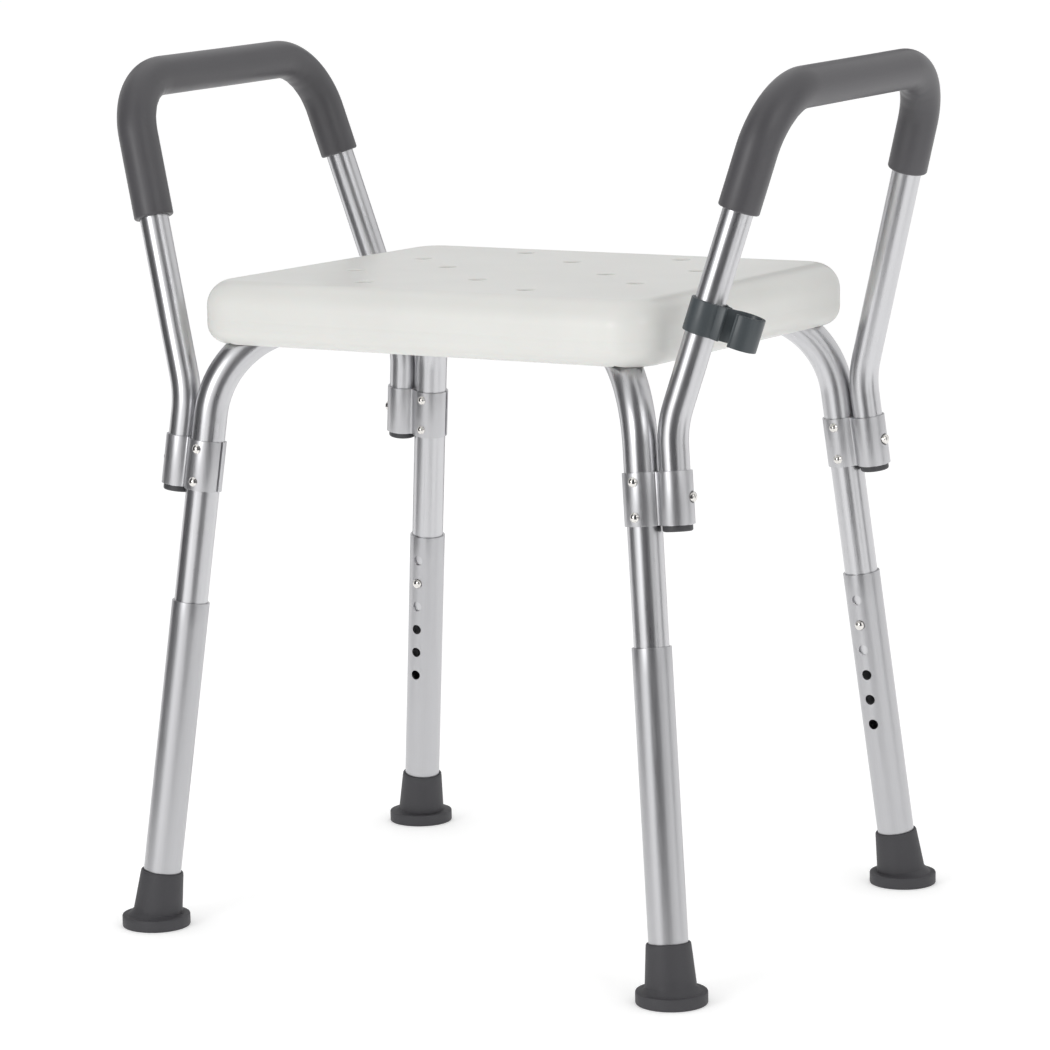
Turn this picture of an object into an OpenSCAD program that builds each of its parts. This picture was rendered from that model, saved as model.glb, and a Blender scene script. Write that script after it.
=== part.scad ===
// Height-adjustable shower stool with lift-off armrests.
// The origin is on the floor under the centre of the seat. +Z is up, +X is the sitter's
// left-to-right direction across the stool and -Y is the front edge of the seat.

/* [Seat] */
// Width of the seat, across both arms
seat_width = 392; // [330:2:480]
// Depth of the seat, front to back
seat_depth = 330; // [290:2:400]
// Height of the sitting face above the floor
seat_height = 494; // [450:1:590]
// Thickness of the seat moulding
seat_thickness = 48; // [40:0.5:60]
// Plan radius of the seat's corners
seat_corner_r = 34; // [30:1:60]
// Rounding along the top edge
seat_top_round = 20; // [6:0.5:22]
// Rounding along the bottom edge
seat_bottom_round = 15; // [8:0.5:18]
// Wall of the hollow moulding
seat_wall = 3.2; // [2.4:0.1:4.5]
// Bore of each drain hole
drain_d = 13; // [8:0.5:16]
// Rim width of the funnel around each drain hole
drain_rim = 1.5; // [1:0.5:3]
// Distance of the side drain holes from the middle of the seat, across it
drain_side_x = 122; // [110:1:130]
// Distance of the side drain holes from the middle of the seat, front to back
drain_side_y = 48; // [40:1:56]
// Distance of the three-hole rows from the middle of the seat, across it
drain_row_x = 70; // [60:1:78]
// Distance of the rows' end holes from the middle of the seat, front to back
drain_row_y = 118; // [106:1:124]
// Distance of the two centre drain holes from the middle, front to back
drain_mid_y = 70; // [60:1:80]

/* [Legs] */
// How much further apart the foot centres are than the seat is wide
foot_spread_x = 58; // [50:1:120]
// How much further apart the foot centres are than the seat is deep
foot_spread_y = 50; // [40:1:110]
// Lean of each leg from the vertical
leg_lean = 7.6; // [5:0.1:10]
// Outside diameter of the bent leg frame tube
frame_tube_d = 25.4; // [22:0.1:30]
// Wall of the bent leg frame tube
frame_tube_wall = 1.2; // [1:0.1:2]
// Centreline radius of the big bends under the seat
frame_bend_r = 76; // [65:1:90]
// Height of the lower legs' top rims above the floor
rim_height = 251; // [220:1:300]
// Length of the frame tube hidden below each rim
frame_tube_insert = 73; // [60:1:100]
// Wall of the telescoping lower leg
lower_leg_wall = 1.5; // [1.2:0.1:2.5]
// Spacing of the height holes
hole_pitch = 20; // [18:0.5:25.4]
// Number of height holes in each lower leg
hole_count = 6; // [3:1:8]
// Number of the hole that the snap button is in, counted from the rim
button_hole = 2; // [1:1:3]
// Diameter of each height hole
height_hole_d = 8; // [7:0.1:10]
// Diameter of the button hole in each arm bracket
bracket_hole_d = 8.8; // [7.5:0.1:10]

/* [Feet] */
// Diameter of the foot's floor flange
foot_flange_d = 52; // [44:0.5:64]
// Height of the floor flange
foot_flange_h = 8; // [5:0.5:12]
// Overall height of the foot
foot_height = 43; // [34:0.5:60]
// Rubber wall around the leg at the foot's mouth
foot_wall = 1.9; // [1.5:0.1:4]
// Thickness of rubber under the leg's end
foot_sole = 7; // [5:0.5:10]

/* [Brackets] */
// Height of the bottom of the arm brackets above the floor
bracket_z = 336; // [300:1:360]
// Height of each bracket extrusion
bracket_h = 38; // [30:1:50]
// Wall of the bracket extrusion
bracket_wall = 1.5; // [1.2:0.1:2.5]
// Width of the slit in the leg side of the bracket
bracket_slit = 2.4; // [1:0.1:5]
// Turn of the arm socket towards the middle of the stool
bracket_toe = 6.5; // [0:0.5:15]

/* [Arms] */
// Outside diameter of the arm tube
arm_tube_d = 22.2; // [19:0.1:25.4]
// Wall of the arm tube
arm_tube_wall = 1.2; // [1:0.1:2]
// Height of the middle of the arm's top bar above the floor
arm_height = 643.5; // [600:0.5:760]
// Height of the lower bends above the floor
arm_bend_z = 405; // [390:1:430]
// Outward flare of the posts above the lower bends
arm_flare = 16.2; // [8:0.1:20]
// Lean of the posts towards each other, front to back
arm_converge = 6.8; // [2:0.1:10]
// Centreline radius of the lower bends
arm_low_bend_r = 75; // [50:1:90]
// Centreline radius of the top bends
arm_top_bend_r = 50; // [40:1:60]
// How much higher the rear corner of the arm is than the front one
arm_rise = 6.5; // [0:0.5:20]
// Outside diameter of the foam grip
grip_d = 30.2; // [27:0.1:38]
// Length of the left grip's front leg below the bar
grip_drop_front_left = 106; // [90:1:130]
// Length of the right grip's front leg below the bar
grip_drop_front_right = 85; // [70:1:130]
// Length of both grips' rear legs below the bar
grip_drop_rear = 76; // [70:1:130]

/* [Snap buttons] */
// Diameter of the button heads
button_d = 7.4; // [5:0.1:8]
// How far the heads stand out of the tube around them
button_proud = 3; // [2:0.1:4]
// Width of the spring strip
spring_w = 6; // [4:0.5:8]
// Thickness of the spring strip
spring_t = 0.6; // [0.4:0.1:1]
// Length of the spring's straight leaves
spring_len = 20; // [14:1:24]

/* [Hose clip] */
// Height of the clip's middle above the floor
clip_z = 484; // [440:1:530]
// Height of the clip along the post
clip_h = 24; // [16:1:32]
// Wall of the clip
clip_wall = 2.3; // [1.8:0.1:4]
// Inside diameter of the open hook
hook_d = 21; // [14:0.5:28]
// Distance from the post's centre to the hook's centre
hook_reach = 32; // [28:0.5:40]

/* [Fasteners] */
// Diameter of the seat screws
screw_d = 6; // [5:0.5:8]
// Distance of each seat screw from the middle of the seat
screw_radius = 140; // [100:1:150]
// Diameter of the rivet heads on the brackets
rivet_head_d = 7.2; // [6:0.1:9]
// Distance between the two rivets of a bracket
rivet_pitch = 25; // [16:0.5:30]
// Diameter of the rivet shanks
rivet_d = 4; // [3:0.1:5]

/* [Hidden] */
$fn = 64;

// Corners of the stool as signs along X and Y
FL = [-1, -1];
FR = [1, -1];
RL = [-1, 1];
RR = [1, 1];
CORNERS = [FL, FR, RL, RR];

// Clearances
slide_gap = 0.1;
socket_gap = 0.1;
hole_gap = 0.2;
press_gap = 0.02;
channel_gap = 0.5;
foam_gap = 0.45;
bend_swell = 0.2;
bend_lap = 0.05;
cut = 1;

// Tube radii
frame_r = frame_tube_d / 2;
frame_bore_r = frame_r - frame_tube_wall;
leg_bore_r = frame_r + slide_gap;
leg_r = leg_bore_r + lower_leg_wall;
arm_r = arm_tube_d / 2;
arm_bore_r = arm_r - arm_tube_wall;
grip_bore_r = arm_r + foam_gap;
sleeve_bore_r = frame_r + press_gap;
sleeve_r = sleeve_bore_r + bracket_wall;
socket_bore_r = arm_r + socket_gap;
socket_r = socket_bore_r + bracket_wall;
socket_pitch = sleeve_bore_r + socket_bore_r + bracket_wall * 0.8;

// Seat levels
seat_bottom = seat_height - seat_thickness;
run_z = seat_bottom + frame_r;
channel_roof = run_z + frame_r + bend_swell + press_gap;

// The two leg frames cross with one joggled up and the other down
joggle_up = 8;
joggle_down = frame_tube_d + press_gap - joggle_up;
joggle_flat = 22;
joggle_bend_r = 45;
joggle_slope = 21;

// Legs: bearing of each diagonal in plan and the distance of each foot from the middle
foot_spacing_x = seat_width + foot_spread_x;
foot_spacing_y = seat_depth + foot_spread_y;
foot_reach = norm([foot_spacing_x, foot_spacing_y]) / 2;
function plan_angle(c) = atan2(c.y * foot_spacing_y, c.x * foot_spacing_x);
function unit(v) = v / norm(v);
// Unit vectors of a leg: outward, sideways and up along the leg
function leg_out(c) = let (a = plan_angle(c))
    [cos(a) * cos(leg_lean), sin(a) * cos(leg_lean), sin(leg_lean)];
function leg_side(c) = let (a = plan_angle(c)) [-sin(a), cos(a), 0];
function leg_up(c) = let (a = plan_angle(c))
    [-cos(a) * sin(leg_lean), -sin(a) * sin(leg_lean), cos(leg_lean)];
// Distance along a leg from the floor to a height, and the point of its axis there
function along(h) = h / cos(leg_lean);
function leg_point(c, h) = let (a = plan_angle(c))
    foot_reach * [cos(a), sin(a), 0] + along(h) * leg_up(c);
// Turn about a leg's axis that faces a bearing in plan
function turn_to(c, bearing) = bearing - plan_angle(c);
function socket_turn(c) = turn_to(c, atan2(-c.y * sin(bracket_toe), c.x * cos(bracket_toe)));
function socket_point(c, h) = let (t = socket_turn(c))
    leg_point(c, h) + socket_pitch * (cos(t) * leg_out(c) + sin(t) * leg_side(c));

// The height holes and their buttons face the middle of the stool, front to back
function hole_bearing(c) = c.y > 0 ? -90 : 90;
button_z = rim_height - button_hole * hole_pitch * cos(leg_lean);
rivet_bearing = -90;

// Leg frame route in the upright plane of its diagonal
frame_end_z = rim_height - frame_tube_insert;
function leg_reach(h) = foot_reach - h * tan(leg_lean);
function joggle_reach(rise) = joggle_flat + abs(rise) / tan(joggle_slope);
function half_route(side, rise) = [
    [side * leg_reach(frame_end_z), 0, frame_end_z],
    [side * leg_reach(run_z), 0, run_z],
    [side * joggle_reach(rise), 0, run_z],
    [side * joggle_flat, 0, run_z + rise]
];
function reversed(list) = [for (i = [len(list) - 1:-1:0]) list[i]];
function frame_route(rise) = concat(half_route(1, rise), reversed(half_route(-1, rise)));
frame_bends = [
    frame_bend_r, joggle_bend_r, joggle_bend_r, joggle_bend_r, joggle_bend_r, frame_bend_r
];
// Distance from the middle to where the big bend begins
run_reach = leg_reach(run_z) - frame_bend_r * tan((90 - leg_lean) / 2);

// Arm route: socket end, lower bend and top corner of each post
arm_end_z = bracket_z - 0.5;
function post_dir(c) = unit([c.x * tan(arm_flare), -c.y * tan(arm_converge), 1]);
function post_point(c, h) = let (low = socket_point(c, arm_bend_z), way = post_dir(c))
    low + way * (h - low.z) / way.z;
function corner_z(c) = arm_height + c.y * arm_rise / 2;
function arm_route(s) = let (f = [s, -1], r = [s, 1]) [
    socket_point(f, arm_end_z), socket_point(f, arm_bend_z), post_point(f, corner_z(f)),
    post_point(r, corner_z(r)), socket_point(r, arm_bend_z), socket_point(r, arm_end_z)
];
arm_bends = [arm_low_bend_r, arm_top_bend_r, arm_top_bend_r, arm_low_bend_r];
function grip_drop(c) = c.y > 0 ? grip_drop_rear
    : c.x < 0 ? grip_drop_front_left
    : grip_drop_front_right;
function grip_route(s) = let (f = [s, -1], r = [s, 1]) [
    post_point(f, arm_height - grip_drop(f)), post_point(f, corner_z(f)),
    post_point(r, corner_z(r)), post_point(r, arm_height - grip_drop(r))
];
grip_bends = [arm_top_bend_r, arm_top_bend_r];
plug_flange_h = 4.5;
plug_lip_r = 1.5;
plug_spigot_h = 12;

// Drain holes: three in each of the four fields between the leg channels
DRAINS = concat(
    [for (c = CORNERS) [c.x * drain_side_x, c.y * drain_side_y]],
    [for (c = CORNERS) [c.x * drain_row_x, c.y * drain_row_y]],
    [for (s = [-1, 1]) [s * drain_row_x, 0]],
    [for (s = [-1, 1]) [0, s * drain_mid_y]]
);

// Fasteners
screw_r = screw_d / 2;
screw_head_r = screw_d * 0.92;
screw_head_h = 3.2;
washer_r = screw_d * 1.1;
washer_t = 1.2;
insert_r = screw_d * 0.8;
insert_h = 9;
cross_rivet_r = 3;
cross_head_r = 6;
cross_head_h = 1.8;
foot_washer_t = 1.6;
foot_washer_hole_r = 5;
rivet_dome_h = 2.2;
rivet_rim_h = 0.5;
rivet_tail_r = rivet_d * 0.7;
rivet_tail_h = 2;
button_dome_h = 1.6;
button_leaf_gap = 2.6;
leaf_margin = 0.7;

// Foot
foot_neck_r = leg_r + foot_wall;
foot_root_r = foot_neck_r + 3.4;
foot_skirt = 1.6;
flange_round = 2;
leg_start = foot_sole + foot_washer_t + 2 * press_gap;

// Hose clip
clip_bore_r = arm_r + slide_gap;
clip_ring_r = clip_bore_r + clip_wall;
hook_r = hook_d / 2 + clip_wall;

// Colours
tube_colour = [0.80, 0.81, 0.83];
sleeve_colour = [0.70, 0.71, 0.73];
steel_colour = [0.86, 0.86, 0.84];
rubber_colour = [0.30, 0.30, 0.32];
foam_colour = [0.34, 0.34, 0.36];
seat_colour = [0.91, 0.91, 0.89];
clip_colour = [0.33, 0.37, 0.39];
brass_colour = [0.75, 0.62, 0.30];

// ---- Shared shapes ----

// Places its children with their X, Y and Z axes along three unit vectors
module placed(x, y, z, at) {
    multmatrix([
        [x.x, y.x, z.x, at.x],
        [x.y, y.y, z.y, at.y],
        [x.z, y.z, z.z, at.z],
        [0, 0, 0, 1]
    ]) children();
}

// Places its children with Z along a direction and X as near to world X as it can be
module along_axis(direction, at) {
    z = unit(direction);
    helper = abs(z.x) < 0.9 ? [1, 0, 0] : [0, 0, -1];
    y = unit(cross(z, helper));
    placed(cross(y, z), y, z, at) children();
}

// Places its children on a leg's axis at a height, Z up the leg and X at a turn from outward
module on_leg(c, h, turn) {
    placed(leg_out(c), leg_side(c), leg_up(c), leg_point(c, h)) rotate([0, 0, turn]) children();
}

// Points Z where X was
module facing_x() {
    rotate([0, 90, 0]) children();
}

// A shallow spherical cap with its flat side at z = 0
module dome(r, h) {
    ball_r = (r * r + h * h) / (2 * h);
    intersection() {
        translate([0, 0, h - ball_r]) sphere(r = ball_r);
        cylinder(r = r + cut, h = h + cut);
    }
}

function turn_angle(p, i) = acos(unit(p[i] - p[i - 1]) * unit(p[i + 1] - p[i]));
function setback(p, r, i) = i < 1 || i > len(p) - 2 ? 0 : r[i - 1] * tan(turn_angle(p, i) / 2);

module ring(outer_r, inner_r) {
    difference() {
        circle(r = outer_r);
        circle(r = inner_r);
    }
}

// The runs and bends of a tube from point i on. Z is along the run, and x is the direction
// that X has there. Bends swell a little, and each run laps into the bends at its ends.
module tube_from(p, bends, i, x, radius, bore_radius) {
    way = unit(p[i + 1] - p[i]);
    run = norm(p[i + 1] - p[i]) - setback(p, bends, i) - setback(p, bends, i + 1);
    lap_in = i == 0 ? 0 : bend_lap;
    lap_out = i == len(p) - 2 ? 0 : bend_lap;
    translate([0, 0, -lap_in]) linear_extrude(run + lap_in + lap_out) ring(radius, bore_radius);
    if (i < len(p) - 2) {
        bend_r = bends[i];
        turn = turn_angle(p, i + 1);
        inward = cross(unit(cross(way, p[i + 2] - p[i + 1])), way);
        next_x = cos(turn) * inward - sin(turn) * way;
        translate([0, 0, run]) rotate([0, 0, atan2(inward * cross(way, x), inward * x)])
            translate([bend_r, 0, 0]) {
                rotate([90, 0, 180]) rotate_extrude(angle = turn) translate([bend_r, 0])
                    ring(radius + bend_swell, bore_radius - bend_swell);
                rotate([0, turn, 0]) translate([-bend_r, 0, 0])
                    tube_from(p, bends, i + 1, next_x, radius, bore_radius);
            }
    }
}

// A tube along straight runs joined by bends
module bent_tube(p, bends, radius, bore_radius) {
    way = unit(p[1] - p[0]);
    y = unit(cross(way, [1, 0, 0]));
    x = cross(y, way);
    placed(x, y, way, p[0]) tube_from(p, bends, 0, x, radius, bore_radius);
}

// ---- Seat ----

// Section of the seat between two half widths, with rounded top and bottom edges
module seat_section(half, inset) {
    top_r = seat_top_round - inset;
    bottom_r = seat_bottom_round - inset;
    low = seat_bottom + inset;
    high = seat_height - inset;
    translate([-half, low + bottom_r]) square([2 * half, high - low - top_r - bottom_r]);
    translate([bottom_r - half, low]) square([2 * (half - bottom_r), high - top_r - low]);
    translate([top_r - half, low + bottom_r])
        square([2 * (half - top_r), high - low - bottom_r]);
    for (s = [-1, 1]) {
        translate([s * (half - top_r), high - top_r]) circle(r = top_r);
        translate([s * (half - bottom_r), low + bottom_r]) circle(r = bottom_r);
    }
}

// The seat's outer form, or the same form drawn in by an inset
module seat_form(inset) {
    corner_r = seat_corner_r - inset;
    straight_x = seat_width / 2 - seat_corner_r;
    straight_y = seat_depth / 2 - seat_corner_r;
    translate([0, straight_y, 0]) rotate([90, 0, 0])
        linear_extrude(2 * straight_y) seat_section(straight_x + corner_r, inset);
    rotate([0, 0, 90]) translate([0, straight_x, 0]) rotate([90, 0, 0])
        linear_extrude(2 * straight_x) seat_section(straight_y + corner_r, inset);
    for (c = CORNERS)
        translate([c.x * straight_x, c.y * straight_y, 0])
            rotate([0, 0, atan2(c.y, c.x) - 45]) rotate_extrude(angle = 90) intersection() {
                seat_section(corner_r, inset);
                translate([0, seat_bottom]) square([corner_r, seat_thickness]);
            }
}

// The channel that a leg frame lies in, grown by a margin, in the plane of its diagonal
module leg_channel(rise, margin) {
    width = frame_tube_d + 2 * (channel_gap + margin);
    roof = channel_roof + margin;
    pocket = joggle_reach(rise) + joggle_bend_r * tan(joggle_slope / 2) + channel_gap + margin;
    pocket_roof = roof + joggle_up + cross_head_h + channel_gap;
    low = seat_bottom - cut;
    translate([0, width / 2, 0]) rotate([90, 0, 0]) linear_extrude(width) {
        translate([-run_reach, low]) square([2 * run_reach, roof - low]);
        for (s = [-1, 1])
            translate([s * run_reach, run_z - frame_bend_r])
                circle(r = roof - run_z + frame_bend_r);
        if (rise > 0)
            translate([-pocket, low]) square([2 * pocket, pocket_roof - low]);
    }
}

module leg_channels(margin) {
    rotate([0, 0, plan_angle(RR)]) leg_channel(joggle_up, margin);
    rotate([0, 0, plan_angle(RL)]) leg_channel(-joggle_down, margin);
}

module at_drains() {
    for (p = DRAINS) translate([p.x, p.y, 0]) children();
}

module at_screws() {
    for (c = CORNERS)
        rotate([0, 0, plan_angle(c)]) translate([screw_radius, 0, 0]) children();
}

// The sealed hollow of the moulding, around the channels, drain holes and screw bosses
module seat_hollow() {
    difference() {
        seat_form(seat_wall);
        leg_channels(seat_wall);
        at_drains() translate([0, 0, seat_bottom])
            cylinder(r = drain_d / 2 + seat_wall, h = seat_thickness);
        at_screws() translate([0, 0, seat_bottom])
            cylinder(r = insert_r + seat_wall, h = seat_thickness);
    }
}

module drain_hole() {
    rim_r = drain_d / 2 + drain_rim;
    translate([0, 0, seat_bottom - cut]) cylinder(d = drain_d, h = seat_thickness + 2 * cut);
    translate([0, 0, seat_height]) rotate_extrude() difference() {
        translate([0, -drain_rim]) square([rim_r, drain_rim + cut]);
        translate([rim_r, -drain_rim]) circle(r = drain_rim);
    }
}

module seat() {
    color(seat_colour) difference() {
        seat_form(0);
        leg_channels(0);
        seat_hollow();
        at_drains() drain_hole();
        at_screws() translate([0, 0, channel_roof - cut])
            cylinder(r = insert_r + press_gap, h = insert_h + cut + press_gap);
    }
}

module seat_inserts() {
    color(brass_colour) at_screws() translate([0, 0, channel_roof]) difference() {
        cylinder(r = insert_r, h = insert_h);
        translate([0, 0, -cut]) cylinder(r = screw_r + press_gap, h = insert_h + 2 * cut);
    }
}

module seat_washers() {
    color(steel_colour) at_screws() translate([0, 0, seat_bottom - press_gap - washer_t])
        difference() {
            cylinder(r = washer_r, h = washer_t);
            translate([0, 0, -cut]) cylinder(r = screw_r + hole_gap, h = washer_t + 2 * cut);
        }
}

module seat_screws() {
    head_top = seat_bottom - washer_t - 2 * press_gap;
    tip = channel_roof + insert_h - cut;
    color(steel_colour) at_screws() translate([0, 0, head_top]) {
        mirror([0, 0, 1]) dome(screw_head_r, screw_head_h);
        translate([0, 0, -cut]) cylinder(r = screw_r, h = tip - head_top + cut);
    }
}

// ---- Leg frames ----

module at_rivets(c) {
    for (s = [-1, 1])
        on_leg(c, bracket_z + (bracket_h + s * rivet_pitch) / 2 * cos(leg_lean),
            turn_to(c, rivet_bearing)) children();
}

module leg_frame(ends, rise) {
    difference() {
        rotate([0, 0, plan_angle(ends[0])])
            bent_tube(frame_route(rise), frame_bends, frame_r, frame_bore_r);
        for (c = ends) {
            on_leg(c, button_z, turn_to(c, hole_bearing(c))) facing_x()
                cylinder(d = button_d + hole_gap, h = frame_r + cut);
            at_rivets(c) facing_x() cylinder(d = rivet_d + hole_gap, h = frame_r + cut);
            rotate([0, 0, plan_angle(c)]) translate([screw_radius, 0, seat_bottom - cut])
                cylinder(r = screw_r + hole_gap, h = frame_tube_d + 2 * cut);
        }
        translate([0, 0, run_z + rise - frame_r - cut])
            cylinder(r = cross_rivet_r + press_gap, h = frame_tube_d + 2 * cut);
    }
}

module leg_frame_a() {
    color(tube_colour) leg_frame([RR, FL], joggle_up);
}

module leg_frame_b() {
    color(tube_colour) leg_frame([RL, FR], -joggle_down);
}

// The rivet that ties the two frames together where they cross
module cross_rivet() {
    low = run_z - joggle_down - frame_r - press_gap;
    high = run_z + joggle_up + frame_r + press_gap;
    color(steel_colour) {
        translate([0, 0, low]) cylinder(r = cross_rivet_r, h = high - low);
        translate([0, 0, high]) dome(cross_head_r, cross_head_h);
        translate([0, 0, low]) mirror([0, 0, 1]) dome(cross_head_r, cross_head_h);
    }
}

// ---- Arm brackets ----

module bracket(c) {
    web_r = socket_r * 0.45;
    difference() {
        on_leg(c, bracket_z, socket_turn(c)) {
            linear_extrude(bracket_h) difference() {
                union() {
                    circle(r = sleeve_r);
                    translate([socket_pitch, 0]) circle(r = socket_r);
                    translate([sleeve_r * 0.75, -web_r])
                        square([socket_pitch - sleeve_r * 0.75 - socket_r * 0.7, 2 * web_r]);
                }
                circle(r = sleeve_bore_r);
                translate([socket_pitch, 0]) circle(r = socket_bore_r);
                translate([-sleeve_r - cut, -bracket_slit / 2])
                    square([sleeve_r, bracket_slit]);
            }
        }
        on_leg(c, bracket_z, socket_turn(c)) translate([socket_pitch, 0, bracket_h / 2])
            facing_x() cylinder(d = bracket_hole_d, h = socket_r + cut);
        at_rivets(c) facing_x() cylinder(d = rivet_d + hole_gap, h = sleeve_r + cut);
    }
}

module bracket_rivets() {
    color(steel_colour) for (c = CORNERS) at_rivets(c) {
        difference() {
            facing_x() translate([0, 0, sleeve_r - cut]) {
                cylinder(d = rivet_head_d, h = cut + rivet_rim_h);
                translate([0, 0, cut + rivet_rim_h]) dome(rivet_head_d / 2, rivet_dome_h);
            }
            translate([0, 0, -rivet_head_d])
                cylinder(r = sleeve_r + press_gap, h = 2 * rivet_head_d);
        }
        facing_x() {
            translate([0, 0, frame_bore_r - cut - rivet_tail_h])
                cylinder(d = rivet_d, h = sleeve_r - frame_bore_r + rivet_tail_h + 2 * cut);
            translate([0, 0, frame_bore_r - cut / 2 - rivet_tail_h])
                cylinder(r = rivet_tail_r, h = rivet_tail_h);
        }
    }
}

// ---- Lower legs and feet ----

module lower_leg(c) {
    rim = along(rim_height);
    color(sleeve_colour) on_leg(c, 0, turn_to(c, hole_bearing(c))) difference() {
        translate([0, 0, leg_start]) cylinder(r = leg_r, h = rim - leg_start);
        translate([0, 0, leg_start - cut]) cylinder(r = leg_bore_r, h = rim - leg_start + 2 * cut);
        for (i = [1:hole_count])
            translate([0, 0, rim - i * hole_pitch]) facing_x()
                cylinder(d = height_hole_d, h = leg_r + cut);
    }
}

module foot(c) {
    color(rubber_colour) difference() {
        union() {
            on_leg(c, 0, 90) {
                cylinder(r1 = foot_root_r, r2 = foot_neck_r, h = foot_height);
                cylinder(r1 = foot_root_r + foot_skirt, r2 = foot_root_r - foot_skirt / 2,
                    h = 2 * foot_flange_h);
            }
            translate(leg_point(c, 0)) rotate_extrude() {
                square([foot_flange_d / 2, foot_flange_h - flange_round]);
                square([foot_flange_d / 2 - flange_round, foot_flange_h]);
                translate([foot_flange_d / 2 - flange_round, foot_flange_h - flange_round])
                    circle(r = flange_round);
            }
        }
        translate(leg_point(c, 0)) translate([0, 0, -2 * foot_sole])
            cylinder(d = 2 * foot_flange_d, h = 2 * foot_sole);
        on_leg(c, 0, 0) translate([0, 0, foot_sole])
            cylinder(r = leg_r + press_gap, h = foot_height);
    }
}

module foot_washer(c) {
    color(steel_colour) on_leg(c, 0, 0) translate([0, 0, foot_sole + press_gap]) difference() {
        cylinder(r = leg_r - press_gap, h = foot_washer_t);
        translate([0, 0, -cut]) cylinder(r = foot_washer_hole_r, h = foot_washer_t + 2 * cut);
    }
}

// ---- Snap buttons ----

// A button facing +X out of a tube along Z, with its tip at a distance from the tube's axis
module button_head(bore_r, tip_r) {
    base = bore_r - button_leaf_gap + press_gap;
    facing_x() {
        translate([0, 0, base]) cylinder(d = button_d, h = tip_r - button_dome_h - base);
        translate([0, 0, tip_r - button_dome_h]) dome(button_d / 2, button_dome_h);
    }
}

// The strip spring behind a button, bent into a U that runs down the tube
module button_spring(bore_r) {
    front = bore_r - button_leaf_gap;
    back = leaf_margin - bore_r;
    bend_r = (front - back) / 2;
    leaf_h = spring_len + button_d / 2 + cut;
    translate([0, spring_w / 2, -spring_len]) rotate([90, 0, 0]) linear_extrude(spring_w) {
        translate([front - spring_t, 0]) square([spring_t, leaf_h]);
        translate([back, 0]) square([spring_t, leaf_h]);
        translate([(front + back) / 2, 0]) difference() {
            circle(r = bend_r);
            circle(r = bend_r - spring_t);
            translate([-bend_r - cut, 0]) square([2 * (bend_r + cut), bend_r + cut]);
        }
    }
}

module leg_button(c) {
    color(steel_colour) on_leg(c, button_z, turn_to(c, hole_bearing(c)))
        button_head(frame_bore_r, leg_r + button_proud);
}

module leg_springs() {
    color(steel_colour) for (c = CORNERS)
        on_leg(c, button_z, turn_to(c, hole_bearing(c))) button_spring(frame_bore_r);
}

// Places its children at the button of an arm's socket end, X facing out of the bracket
module at_arm_button(c) {
    on_leg(c, bracket_z, socket_turn(c)) translate([socket_pitch, 0, bracket_h / 2]) children();
}

module arm_button(c) {
    color(steel_colour) at_arm_button(c) button_head(arm_bore_r, socket_r + button_proud);
}

module arm_springs(s) {
    color(steel_colour) for (c = [[s, -1], [s, 1]])
        at_arm_button(c) mirror([0, 0, 1]) button_spring(arm_bore_r);
}

// ---- Arms ----

module arm_tube(s) {
    color(tube_colour) difference() {
        bent_tube(arm_route(s), arm_bends, arm_r, arm_bore_r);
        for (c = [[s, -1], [s, 1]])
            at_arm_button(c) facing_x() cylinder(d = button_d + hole_gap, h = arm_r + cut);
    }
}

module arm_grip(s) {
    color(foam_colour) bent_tube(grip_route(s), grip_bends, grip_d / 2, grip_bore_r);
}

module arm_plugs(s) {
    flange_r = arm_r - hole_gap;
    color(rubber_colour) for (c = [[s, -1], [s, 1]])
        placed(leg_out(c), leg_side(c), leg_up(c), socket_point(c, arm_end_z)) {
            translate([0, 0, -press_gap]) mirror([0, 0, 1]) rotate_extrude() {
                square([flange_r, plug_flange_h - plug_lip_r]);
                square([flange_r - plug_lip_r, plug_flange_h]);
                translate([flange_r - plug_lip_r, plug_flange_h - plug_lip_r])
                    circle(r = plug_lip_r);
            }
            translate([0, 0, -cut]) cylinder(r = arm_bore_r - press_gap, h = plug_spigot_h + cut);
        }
}

// ---- Hose clip ----

// A strip of the clip's wall from one point to another, with round ends
module clip_strip(from, to, wall) {
    way = to - from;
    translate(from) rotate(atan2(way.y, way.x)) {
        translate([0, -wall / 2]) square([norm(way), wall]);
        circle(d = wall);
        translate([norm(way), 0]) circle(d = wall);
    }
}

function polar(r, a) = r * [cos(a), sin(a)];

// A wedge of the plane between two bearings
module wedge(r, from, to) {
    polygon([[0, 0], polar(r, from), polar(r, (from + to) / 2), polar(r, to)]);
}

module clip_section() {
    ring_mid = (clip_bore_r + clip_ring_r) / 2;
    hook_mid = hook_r - clip_wall / 2;
    hook_at = [hook_reach, -1];
    front_end = polar(ring_mid, -27);
    rear_end = polar(ring_mid, 27);
    web_end = hook_at + polar(hook_mid, 163);
    lip_end = hook_at + polar(hook_mid, 268);
    difference() {
        circle(r = clip_ring_r);
        circle(r = clip_bore_r);
        wedge(2 * clip_ring_r, -27, 27);
    }
    clip_strip(front_end, web_end, clip_wall);
    clip_strip(front_end + [-0.5, -0.6], front_end + [6, -0.9], clip_wall);
    clip_strip(rear_end, rear_end + [4.2, -1.6], clip_wall * 0.8);
    translate(hook_at) difference() {
        circle(r = hook_r);
        circle(r = hook_r - clip_wall);
        wedge(2 * hook_r, 163, 268);
    }
    clip_strip(lip_end, lip_end + [-1.2, -0.5], clip_wall);
}

module hose_clip() {
    way = post_dir(FR);
    color(clip_colour) along_axis(way, post_point(FR, clip_z) - way * clip_h / 2)
        linear_extrude(clip_h) clip_section();
}

// ---- Assembly ----

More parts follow.
